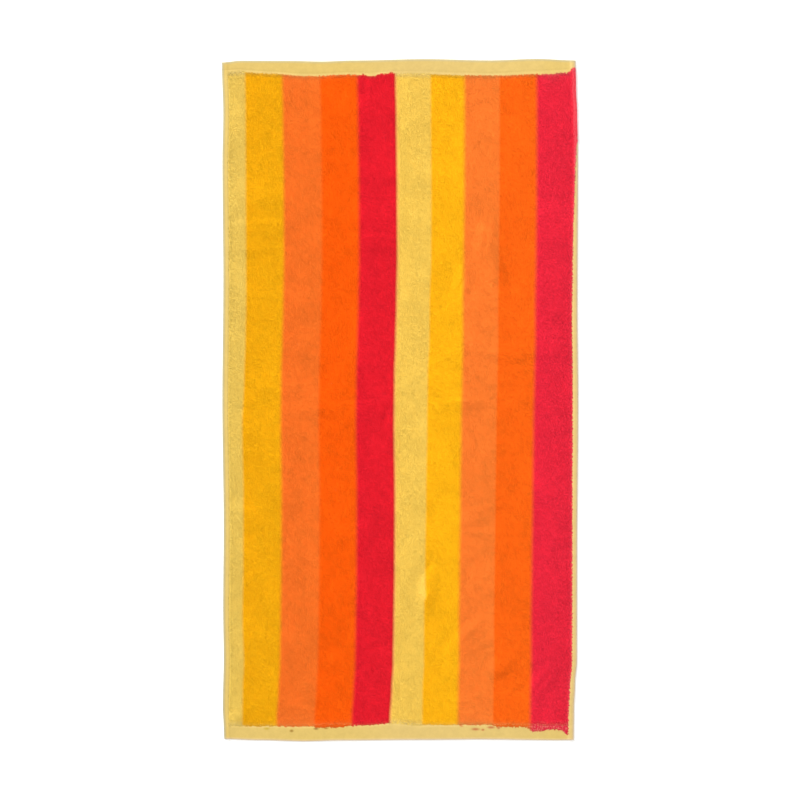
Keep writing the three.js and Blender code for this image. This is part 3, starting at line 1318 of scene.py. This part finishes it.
@dataclass
class Lay:
    """The cut as it lies in the frame: places in millimetres, moved so that its box is the solid's box."""

    cut: TowelCut = field(default_factory=TowelCut)
    pattern: Print = field(default_factory=Print)
    cover: Coverage = field(default_factory=Coverage)
    shift: Array = field(default_factory=lambda: np.zeros(2))
    wear: HemShading = field(default_factory=HemShading)

    def settle(self) -> None:
        """Finds the shift that centres the outline's box on the solid's box."""
        edge_points = 801
        run = np.linspace(-EDGE, EDGE, edge_points)
        edge = np.full_like(run, EDGE)
        sides = [self.cut.place(sign * edge, run) for sign in (-1, 1)]
        ends = [self.cut.place(run, sign * edge) for sign in (-1, 1)]
        x = np.concatenate([side[0] for side in sides])
        y = np.concatenate([end[1] for end in ends])
        low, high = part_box(TOWEL_NODE)
        middle = np.array([(low[0] + high[0]) / 2, (low[1] + high[1]) / 2]) / MM
        self.shift = middle - np.array([(x.min() + x.max()) / 2, (y.min() + y.max()) / 2])

    def dress(self, mesh: Mesh, u: Array, v: Array) -> None:
        """Stores where each vertex of the ground cloth lies in the print, and its tone.

        Args:
            mesh: The cloth.
            u: Stations across.
            v: Stations along.
        """
        x, y = self.cut.place(u, v)
        past, cover = self.cut.past_lines(x, y), self.cover
        stored = {
            "across": self.pattern.across(x, y),
            "bare": cover.past_dye(x, y, *past),
            "missed": cover.missed * (y < 0) * (past[0] < 0) * smooth_share(x, *cover.missed_from),
            "in_sight": smooth_share(cover.past_pile(x, y, *past), *cover.in_sight_from),
            "place": np.column_stack([x, y, 0 * x]),
            **self.wear.tone(self, u, v)._asdict(),
        }
        put_attributes(mesh, stored)

    def strength(self, x: Array, y: Array) -> Array:
        """1 where the print's dye is strong and 0 where it is as pale as the ground."""
        numbers = {dye: number for number, dye in enumerate(Dye)}
        return (self.pattern.dye_at(self.pattern.across(x, y)) != numbers[Dye.STRAW]).astype(float)


@dataclass
class GroundCloth:
    """The woven ground with its hems: one closed sheet that the pile stands on."""

    lay: Lay
    column_spacing: float = 3.2
    row_spacing: float = 5.4
    hem_spacing: float = 1.1
    rim_cuts: int = 3
    rim_above: float = 0.9
    rim_below: float = 0.5
    rim_top_share: float = 0.9
    # The hems pucker a little, which fades out over this width at their lines
    pucker: Noise = Noise(11.0, 21, 0.18)
    pucker_fade: float = 2.0
    thinnest: float = 0.8
    seam_depth: float = 0.28
    seam_half_width: float = 1.2
    top_seam: float = 3.5
    bottom_seam: float = 1.6
    flap_edge: float = 1.1
    flap_depth: float = 0.5
    # In the bake map: the room round each half, between the halves and for the rim
    map_margin: float = 6.0
    map_gap: float = 4.0
    map_rim: float = 3.0

    def stations(self, half: float, hem: float, spacing: float) -> Array:
        """Spaces stations from edge to edge: even in the pile and closer over the hems.

        Args:
            half: Half size of the cloth.
            hem: Depth of its hem.
            spacing: Spacing in the pile.

        Returns:
            The stations.
        """
        inner = half - hem
        pile = np.linspace(0, HEM_LINE, round(inner / spacing) + 1)
        over = np.linspace(HEM_LINE, EDGE, round(hem / self.hem_spacing) + 1)[1:]
        side = np.concatenate([pile, over])
        return np.concatenate([-side[:0:-1], side])

    def box_mesh(self, columns: int, rows: int) -> Mesh:
        """Makes a flat box of a grid of faces above and below, and a few rings round its rim.

        Args:
            columns: Faces across.
            rows: Faces along.

        Returns:
            The box, two units wide.
        """
        bm = bmesh.new()
        bmesh.ops.create_grid(bm, x_segments=columns, y_segments=rows, size=1.0)
        bmesh.ops.translate(bm, verts=bm.verts[:], vec=(0, 0, -1))
        raised = bmesh.ops.extrude_face_region(bm, geom=bm.faces[:], use_keep_orig=True)["geom"]
        bmesh.ops.translate(bm, verts=[x for x in raised if isinstance(x, bmesh.types.BMVert)], vec=(0, 0, 2))
        bmesh.ops.recalc_face_normals(bm, faces=bm.faces[:])
        upright = [edge for edge in bm.edges if abs(edge.verts[0].co.z - edge.verts[1].co.z) > 1]
        bmesh.ops.subdivide_edges(bm, edges=upright, cuts=self.rim_cuts, use_grid_fill=True)
        return to_mesh(bm, "towel_cloth")

    def surface(self, u: Array, v: Array, layer: Array) -> Array:
        """Places the sheet's points.

        Args:
            u: Stations across.
            v: Stations along.
            layer: 0 on the underside, 1 on the face and between them round the rim.

        Returns:
            Rows of X, Y and Z in millimetres.
        """
        cut = self.lay.cut
        x, y = cut.place(u, v)
        past_side, past_end = cut.past_lines(x, y)
        on_side, on_end = np.abs(u) >= EDGE, np.abs(v) >= EDGE
        spread = (2 * layer - 1) ** 2
        inset = spread * np.where(layer > 0.5, self.rim_above, self.rim_below)
        end_seam = np.where(v > 0, self.top_seam, self.bottom_seam)
        seam = self.seam_depth * np.exp(-(((past_end - end_seam) / self.seam_half_width) ** 2))
        waves = self.pucker.at(x, y) * smooth_share(past_end, -self.pucker_fade, self.pucker_fade)
        height = np.maximum(cut.height(u, v) - seam + waves, self.thinnest)
        share = np.where((on_side | on_end) & np.isclose(layer, 1), self.rim_top_share, layer)
        flap = np.exp(-(((np.maximum(past_side, past_end) - self.flap_edge) / self.seam_half_width) ** 2))
        crease = (cut.swell(x, y) - cut.lift(x, y)) * layer
        z = cut.lift(x, y) + crease + height * share + self.flap_depth * flap * np.isclose(layer, 0)
        x = x - np.sign(u) * inset * on_side + self.lay.shift[0]
        y = y - np.sign(v) * inset * on_end + self.lay.shift[1]
        return np.column_stack([x, y, z])

    def bake_corners(self, mesh: Mesh, points: Array, parameters: Array) -> Array:
        """Places the face and its rim in the left half of the bake map, and the underside in the right half.

        Args:
            mesh: The box.
            points: Where its vertices go, in millimetres.
            parameters: Where they are in the box.

        Returns:
            A place in the unit square for each face corner.
        """
        half_x, half_y = np.abs(points[:, :2]).max(axis=0) + self.map_margin
        total = max(4 * half_x + self.map_gap, 2 * half_y)
        drop = (1 - parameters[:, 2]) / 2 * self.map_rim
        on_rim = np.isclose(np.abs(parameters[:, :2]), 1)
        face = points[:, :2] + np.sign(parameters[:, :2]) * on_rim * drop[:, None] + (half_x, half_y)
        under = np.column_stack([3 * half_x + self.map_gap - points[:, 0], points[:, 1] + half_y])
        corners = read_all(mesh.loops, "vertex_index")
        highest = np.maximum.reduceat(parameters[corners, 2], read_all(mesh.polygons, "loop_start"))
        below = np.repeat(np.isclose(highest, -1), read_all(mesh.polygons, "loop_total"))
        return np.where(below[:, None], under[corners], face[corners]) / total

    def build(self) -> Piece:
        """Makes the sheet and dresses its face, hems and back.

        Returns:
            The sheet.
        """
        cut = self.lay.cut
        columns = self.stations(cut.width / 2, cut.rough_side_hem, self.column_spacing)
        rows = self.stations(cut.length / 2, cut.mean_end_hem, self.row_spacing)
        mesh = self.box_mesh(len(columns) - 1, len(rows) - 1)
        parameters = read_all(mesh.vertices, "co", 3)
        u = columns[np.rint((parameters[:, 0] + 1) / 2 * (len(columns) - 1)).astype(int)]
        v = rows[np.rint((parameters[:, 1] + 1) / 2 * (len(rows) - 1)).astype(int)]
        points = self.surface(u, v, (parameters[:, 2] + 1) / 2)
        self.lay.dress(mesh, u, v)
        put_bake_map(mesh, self.bake_corners(mesh, points, parameters))
        for finish in (CutPileVelour(), FlatWeave(), LoopedBack()):
            mesh.materials.append(finish.material())
        pile_slot, hem_slot, back_slot = range(3)
        centres = read_all(mesh.polygons, "center", 3)
        face_u = np.interp(centres[:, 0], np.linspace(-1, 1, len(columns)), columns)
        face_v = np.interp(centres[:, 1], np.linspace(-1, 1, len(rows)), rows)
        # The pile can end short of the hem line, so the bare weave begins a row inside it
        on_line = -1 - round(cut.mean_end_hem / self.hem_spacing)
        row = rows[on_line] - rows[on_line - 1]
        hem = (np.abs(face_u) > HEM_LINE) | (np.abs(face_v) > HEM_LINE - row)
        slots = np.where(hem, hem_slot, np.where(centres[:, 2] < 0, back_slot, pile_slot)).astype(np.int32)
        mesh.polygons.foreach_set("material_index", slots)
        move_points(mesh, points * MM)
        mesh.shade_smooth()
        piece = new_piece("towel_cloth", mesh)
        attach(piece, BODY)
        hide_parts(TOWEL_NODE)
        return piece


@dataclass
class CutPile:
    """The sheared pile: a tuft for each cut loop, in rows that the weave sets, one piece for each dye."""

    lay: Lay
    pitch_across: float = 1.38
    pitch_along: float = 1.46
    jitter: float = 0.4
    tuft_height: float = 1.4
    tuft_radius: float = 1.2
    root_depth: float = 0.2
    lean: float = 20.0
    lean_noise: Noise = Noise(12.0, 33, 7.0)
    lean_spread: float = 6.0
    # The nap lies towards the bottom, give or take, in radians
    way_noises: tuple[Noise, ...] = rows_of(Noise, (30.0, 31, 0.6), (9.0, 32, 0.3))
    way_spread: float = 0.6
    size_range: tuple[float, float] = (0.85, 1.15)
    # Millimetres by which single tufts stand in front of the pile's edge or behind it
    ragged: float = 0.25
    # Along the pile's edge the tufts are shorter, to this share of their height at the top and the bottom
    shorn_top: float = 0.75
    shorn_bottom: float = 0.5
    shorn_width: float = 2.5
    # On a ripple's slope the pile parts, so it leans more than the cloth does
    parting: float = 2.0
    # Shares by which the nap's lie makes the pile lighter and darker
    mottle: float = 0.05
    mottle_strengths: tuple[float, ...] = (0.5, 0.7, 1.0, 1.0, 1.0)
    mottle_noise: Noise = Noise(11.0, 51)
    grain: Noise = Noise(4.0, 52, 0.045)
    # Painted light and shade on the ripples' slopes: lighter where they face the lamp, darker where they face away
    glance: float = 0.2
    # Painted shade: towards its ends and its left side the pile is drawn darker, this much and over this width
    top_shade: float = 0.25
    top_shade_width: float = 8.0
    bottom_shade: float = 0.14
    # How strongly the ends shade each dye, from straw to red
    top_strengths: tuple[float, ...] = (0.3, 1.0, 1.0, 1.0, 0.8)
    bottom_strengths: tuple[float, ...] = (0.0, 0.15, 0.9, 0.5, 1.0)
    bottom_shade_width: float = 5.0
    left_shade: float = 0.13
    left_shade_width: float = 7.0
    # Over the right hem the pile is drawn paler and lighter with painted sheen on the crown, and darker with painted
    # shade in the groove and on the rim
    crown_rub: float = 0.11
    crown_lift: float = 0.14
    crown_from: tuple[float, float] = (0.28, 0.52)
    # Along its right side the pile gets the painted sheen too
    side_rub: float = 0.1
    side_rub_width: float = 1.6
    groove_shade: float = 0.10
    groove_middle: float = 0.1
    groove_width: float = 0.2
    rim_shade: float = 0.04
    rim_from: tuple[float, float] = (0.2, 0.05)
    # Painted light: the pile is drawn a little lighter towards the bottom and darker towards the top
    lighter_bottom: float = 0.014
    # At the upper right the ends of the pile are drawn paler too
    corner_rub: float = 0.05
    corner_rub_width: float = 7.0
    corner_from: tuple[float, float] = (195.0, 205.0)
    # The rim of the right hem stays free of tufts, as a share of the hem's depth
    free_rim: float = 0.06
    # Straw shows the ground over this width, which begins so far inside the pile
    straw_start: float = 2.2
    straw_width: float = 11.0
    # The other dyes show it in these shares, which fall off over these widths, light orange also over a wide one
    thin_shares: tuple[float, ...] = (0.5, 0.35, 0.4, 0.3)
    thin_widths: tuple[float, ...] = (1.6, 2.0, 1.9, 1.3)
    wide_share: float = 0.05
    wide_width: float = 14.0
    bake_margin: float = 0.01
    seed: int = 7

    def tuft(self) -> Mesh:
        """Makes a tuft: a three-sided spike, one unit high, that its size scales.

        Returns:
            The tuft.
        """
        bm = bmesh.new()
        bmesh.ops.create_cone(bm, cap_ends=False, segments=3, radius1=1.0, radius2=0.0, depth=1.0)
        bmesh.ops.translate(bm, verts=bm.verts[:], vec=(0, 0, 0.5))
        bmesh.ops.remove_doubles(bm, verts=bm.verts[:], dist=1e-4)
        bmesh.ops.recalc_face_normals(bm, faces=bm.faces[:])
        return to_mesh(bm, "tuft")

    def thinness(self, kind: Array, inwards: Array) -> Array:
        """How much of the ground shows through the pile towards its ends, which pale dyes hide least.

        Args:
            kind: Number of the dye.
            inwards: Millimetres inside the pile's end.

        Returns:
            The share for each tuft.
        """
        straw = 1 - smooth_share(inwards + self.straw_start, 0.0, self.straw_width)
        falls = zip(self.thin_shares, self.thin_widths)
        amber, light_orange, orange, red = (share * np.exp(-inwards / width) for share, width in falls)
        light_orange = light_orange + self.wide_share * np.exp(-inwards / self.wide_width)
        return np.choose(kind, [straw, amber, light_orange, orange, red])

    def tone(self, kind: Array, u: Array, x: Array, y: Array) -> Tone:
        """How light and how pale the pile is drawn, with its painted light, sheen and shade.

        Args:
            kind: Number of the dye.
            u: Stations across.
            x: Places across.
            y: Places along.

        Returns:
            The tone of each tuft.
        """
        cover, past = self.lay.cover, self.lay.cut.past_lines(x, y)
        rises_right, rises_up = self.lay.cut.slope(x, y)
        mottle = self.mottle * np.array(self.mottle_strengths)[kind]
        nap = 1 + mottle * self.mottle_noise.at(x, y) + self.grain.at(x, y)
        # Painted light and shade: on the ripples' slopes, and a little lighter towards the bottom
        nap = nap + self.glance * (rises_right - rises_up)
        nap = nap * (1 - self.lighter_bottom * y / (self.lay.cut.length / 2))
        # Painted shade towards the pile's ends and its left side
        from_end, from_side = -cover.past_end_pile(x, y, past[1]), -cover.past_side_pile(x, y, past[0])
        top, bottom = np.array(self.top_strengths)[kind], np.array(self.bottom_strengths)[kind]
        top_shade = self.top_shade * top * (1 - smooth_share(from_end, 0.0, self.top_shade_width))
        bottom_shade = self.bottom_shade * bottom * (1 - smooth_share(from_end, 0.0, self.bottom_shade_width))
        nap = nap * (1 - np.where(y > 0, top_shade, bottom_shade))
        nap = nap * (1 - self.left_shade * (x < 0) * (1 - smooth_share(from_side, 0.0, self.left_shade_width)))
        # Painted sheen on the right hem's crown and along the pile's right side, and painted shade in the hem's
        # groove and on its rim
        on_crown = smooth_share(u, *(HEM_LINE + share for share in self.crown_from))
        on_rim = smooth_share(u, *(EDGE - share for share in self.rim_from))
        groove = np.exp(-(((u - HEM_LINE - self.groove_middle) / self.groove_width) ** 2))
        nap = nap * (1 - self.groove_shade * groove)
        nap = nap * (1 + self.crown_lift * on_crown - self.rim_shade * on_rim)
        corner = (y > 0) * np.exp(-from_end / self.corner_rub_width) * smooth_share(x, *self.corner_from)
        rub = self.crown_rub * on_crown + self.corner_rub * corner
        rub = rub + self.side_rub * (x > 0) * np.exp(-np.maximum(0, from_side) / self.side_rub_width)
        return Tone(nap, rub, np.zeros_like(nap))

    def bed(self) -> Mesh:
        """Places the points that the tufts stand on, with their dye, turn, size and tone.

        Returns:
            The points.
        """
        cut, cover = self.lay.cut, self.lay.cover
        half_x, half_y = cut.width / 2, cut.length / 2
        mesh = Planter.bed("pile_bed", round(2 * half_x / self.pitch_across), round(2 * half_y / self.pitch_along))
        grid = read_all(mesh.vertices, "co", 3)
        count = len(grid)
        draw = np.random.default_rng(self.seed)
        even_x = grid[:, 0] * half_x + draw.uniform(-1, 1, count) * self.jitter * self.pitch_across
        even_y = grid[:, 1] * half_y + draw.uniform(-1, 1, count) * self.jitter * self.pitch_along
        u = cut.station_at(even_x, half_x, cut.rough_side_hem)
        v = cut.station_at(even_y, half_y, cut.rough_end_hem)
        x, y = cut.place(u, v)
        past = cut.past_lines(x, y)
        outside = cover.past_pile(x, y, *past) + draw.uniform(-self.ragged, self.ragged, count)
        kind = self.lay.pattern.dye_at(self.lay.pattern.across(x, y))
        inside = (outside < 0) & (np.abs(u) < EDGE - self.free_rim) & (np.abs(v) < EDGE)
        way = sum((noise.at(x, y) for noise in self.way_noises), -math.pi / 2)
        way = way + draw.normal(0, self.way_spread, count)
        tilt = np.tan(np.radians(self.lean + self.lean_noise.at(x, y) + draw.normal(0, self.lean_spread, count)))
        right, top = cut.slope(x, y)
        lean_x, lean_y = tilt * np.cos(way) - self.parting * right, tilt * np.sin(way) - self.parting * top
        girth = self.tuft_radius * draw.uniform(*self.size_range, count)
        shorn = np.where(y > 0, self.shorn_top, self.shorn_bottom)
        shorn = shorn + (1 - shorn) * smooth_share(-outside, 0.0, self.shorn_width)
        length = (self.tuft_height + self.root_depth) * draw.uniform(*self.size_range, count) * shorn
        turn = np.column_stack([np.zeros(count), np.arctan(np.hypot(lean_x, lean_y)), np.arctan2(lean_y, lean_x)])
        stored = {
            "kind": np.where(inside, kind, -1).astype(np.int32),
            "turn": turn,
            "size": np.column_stack([girth, girth, length]) * MM,
            "thinness": self.thinness(kind, np.maximum(0, -cover.past_end_pile(x, y, past[1]))),
            **self.tone(kind, u, x, y)._asdict(),
        }
        put_attributes(mesh, stored)
        z = cut.swell(x, y) + cut.height(u, v) - self.root_depth
        move_points(mesh, np.column_stack([x + self.lay.shift[0], y + self.lay.shift[1], z]) * MM)
        return mesh

    def build(self) -> list[Piece]:
        """Plants the pile.

        Returns:
            One piece for each dye.
        """
        bed, planter, finish = self.bed(), Planter(self.tuft()), CutPileVelour().material()
        pieces = []
        for number, dye in enumerate(Dye):
            mesh = planter.plant(bed, number, f"pile_{dye.value}")
            mesh.materials.append(finish)
            points = read_all(mesh.vertices, "co", 3)[:, :2]
            put_attributes(mesh, {"across": self.lay.pattern.across(*(points / MM - self.lay.shift).T)})
            corners = points[read_all(mesh.loops, "vertex_index")]
            low, high = corners.min(axis=0), corners.max(axis=0)
            put_bake_map(mesh, self.bake_margin + (1 - 2 * self.bake_margin) * (corners - low) / (high - low))
            piece = new_piece(mesh.name, mesh)
            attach(piece, BODY)
            pieces.append(piece)
        return pieces


@dataclass
class HemStitching:
    """Lockstitch rows that hold the hems down, seen on the face and on the back."""

    lay: Lay
    stitch_pitch: float = 3.0
    stitch_length: float = 2.7
    thread_width: float = 0.5
    thread_height: float = 0.36
    sunk: float = 0.06
    from_corner: float = 6.0
    # Stitches further inside the pile than this are hidden by it and left out
    hidden_from: float = 0.3
    rows: tuple[StitchRow, ...] = rows_of(
        StitchRow, (True, 1, 3.5), (True, -1, 1.6), (False, 1, 0.5), (False, -1, 0.5)
    )

    def stitch(self) -> Mesh:
        """Makes a stitch: a short swell of thread along X that dips into the cloth at both ends.

        Returns:
            The stitch.
        """
        bm = bmesh.new()
        bmesh.ops.create_uvsphere(bm, u_segments=6, v_segments=6, radius=0.5)
        turned = Matrix.Rotation(math.pi / 2, 3, "Y")
        bmesh.ops.rotate(bm, verts=bm.verts[:], cent=(0, 0, 0), matrix=turned)
        return to_mesh(bm, "stitch")

    def bed(self, cloth: GroundCloth) -> Mesh:
        """The points that the stitches lie on, a row of the bed for each seam on the face and on the back.

        Args:
            cloth: Sheet that is sewn.

        Returns:
            The points, with their turn and size.
        """
        cut = self.lay.cut
        most = round((cut.length - 2 * self.from_corner) / self.stitch_pitch)
        mesh = Planter.bed("stitch_bed", most, 2 * len(self.rows))
        places, kinds, turns, dyed = [], [], [], []
        for layer in (1.0, 0.0):
            for row in self.rows:
                half = (cut.width if row.across else cut.length) / 2 - self.from_corner
                depth = cut.mean_end_hem if row.across else cut.rough_side_hem
                run = (np.arange(most) - (most - 1) / 2) * self.stitch_pitch
                fixed = np.full(most, row.sign * (half + self.from_corner - depth))
                u, v = cut.stations(*((run, fixed) if row.across else (fixed, run)))
                station = np.full(most, row.sign * (HEM_LINE + row.from_hem_line / depth))
                u, v = (u, station) if row.across else (station, v)
                points = cloth.surface(u, v, np.full(most, layer))
                points[:, 2] += self.sunk if layer < 0.5 else -self.sunk
                x, y = cut.place(u, v)
                past = cut.past_lines(x, y)
                under_pile = (layer > 0.5) & (self.lay.cover.past_pile(x, y, *past) < -self.hidden_from)
                bare = self.lay.cover.past_dye(x, y, *past) if layer > 0.5 else np.ones(most)
                dyed.append(np.column_stack([self.lay.pattern.across(x, y), bare]))
                places.append(points)
                kinds.append(np.where((np.abs(run) < half) & ~under_pile, 0, -1))
                turns.append(np.tile([0, 0, 0 if row.across else math.pi / 2], (most, 1)))
        count = len(mesh.vertices)
        size = np.tile([self.stitch_length, self.thread_width, self.thread_height], (count, 1))
        across, bare = np.concatenate(dyed).T
        stored = {
            "kind": np.concatenate(kinds).astype(np.int32),
            "turn": np.concatenate(turns),
            "size": size * MM,
            "across": across,
            "bare": bare,
        }
        put_attributes(mesh, stored)
        move_points(mesh, np.concatenate(places) * MM)
        return mesh

    def build(self, cloth: GroundCloth) -> Piece:
        """Lays every stitch of every row.

        Args:
            cloth: Sheet that is sewn.

        Returns:
            The stitches.
        """
        mesh = Planter(self.stitch()).plant(self.bed(cloth), 0, "hem_stitching")
        mesh.materials.append(SpunThread().material())
        piece = new_piece("hem_stitching", mesh)
        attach(piece, BODY)
        return piece


@dataclass(frozen=True)
class StudioWhite(Finish):
    """Matt white studio board, which the eye takes for plain white paper."""

    name: str = "white board, matt"
    colour: str = "#FAFAF9"
    specular: float = 0.0


@dataclass(frozen=True)
class Studio:
    """The floor, soft light and the camera, straight above the towel as in the picture."""

    picture_width: float = 1129.6
    lens: float = 85.0
    sensor: float = 36.0
    floor_half: float = 8.0
    floor_drop: float = 0.2
    sky_strength: float = 0.98
    key_strength: float = 330.0
    key_size: float = 1.6
    key_place: tuple[float, float, float] = (-3.3, 3.3, 2.7)

    def build(self) -> None:
        """Sets up the camera, the floor and the light."""
        scene = bpy.context.scene
        scene.view_settings.view_transform = "Standard"
        camera = bpy.data.cameras.new("camera")
        camera.lens, camera.sensor_width = self.lens, self.sensor
        eye = bpy.data.objects.new("camera", camera)
        eye.location.z = self.picture_width * MM / self.sensor * self.lens
        scene.collection.objects.link(eye)
        scene.camera = eye
        self.light()
        bm = bmesh.new()
        bmesh.ops.create_grid(bm, x_segments=1, y_segments=1, size=self.floor_half)
        bmesh.ops.translate(bm, verts=bm.verts[:], vec=(0, 0, -self.floor_drop * MM))
        mesh = to_mesh(bm, "floor")
        mesh.materials.append(StudioWhite().material())
        new_piece("floor", mesh)

    def light(self) -> None:
        """Adds an even white surround and one large soft box, low beyond the towel's upper left corner."""
        world = bpy.data.worlds.new("surround")
        world.use_nodes = True
        background = world.node_tree.nodes["Background"]
        background.inputs["Color"].default_value = (1, 1, 1, 1)
        background.inputs["Strength"].default_value = self.sky_strength
        bpy.context.scene.world = world
        lamp = bpy.data.lights.new("soft_box", "AREA")
        lamp.energy, lamp.size = self.key_strength, self.key_size
        box = bpy.data.objects.new("soft_box", lamp)
        box.location = self.key_place
        box.rotation_mode = "QUATERNION"
        box.rotation_quaternion = (-Vector(self.key_place)).to_track_quat("-Z", "Y")
        bpy.context.scene.collection.objects.link(box)


def report(build: Callable[[], Any], what: str) -> Any:
    """Builds something and logs it.

    Args:
        build: Function that makes it.
        what: What it is.

    Returns:
        What the function gave.
    """
    made = build()
    pieces = made if isinstance(made, list) else [made]
    for piece in pieces:
        if isinstance(piece, Piece):
            LOG.info("%s: %s, %d faces", what, piece.name, len(piece.data.polygons))
    return made


def main() -> None:
    """Builds the towel in order."""
    logging.basicConfig(level=logging.INFO, format="%(message)s")
    report(Studio().build, "studio")
    lay = Lay()
    lay.settle()
    ground = GroundCloth(lay)
    cloth = report(ground.build, "ground cloth")
    pile = report(CutPile(lay).build, "cut pile")
    stitching = report(lambda: HemStitching(lay).build(ground), "lockstitch")


if __name__ == "__main__":
    main()
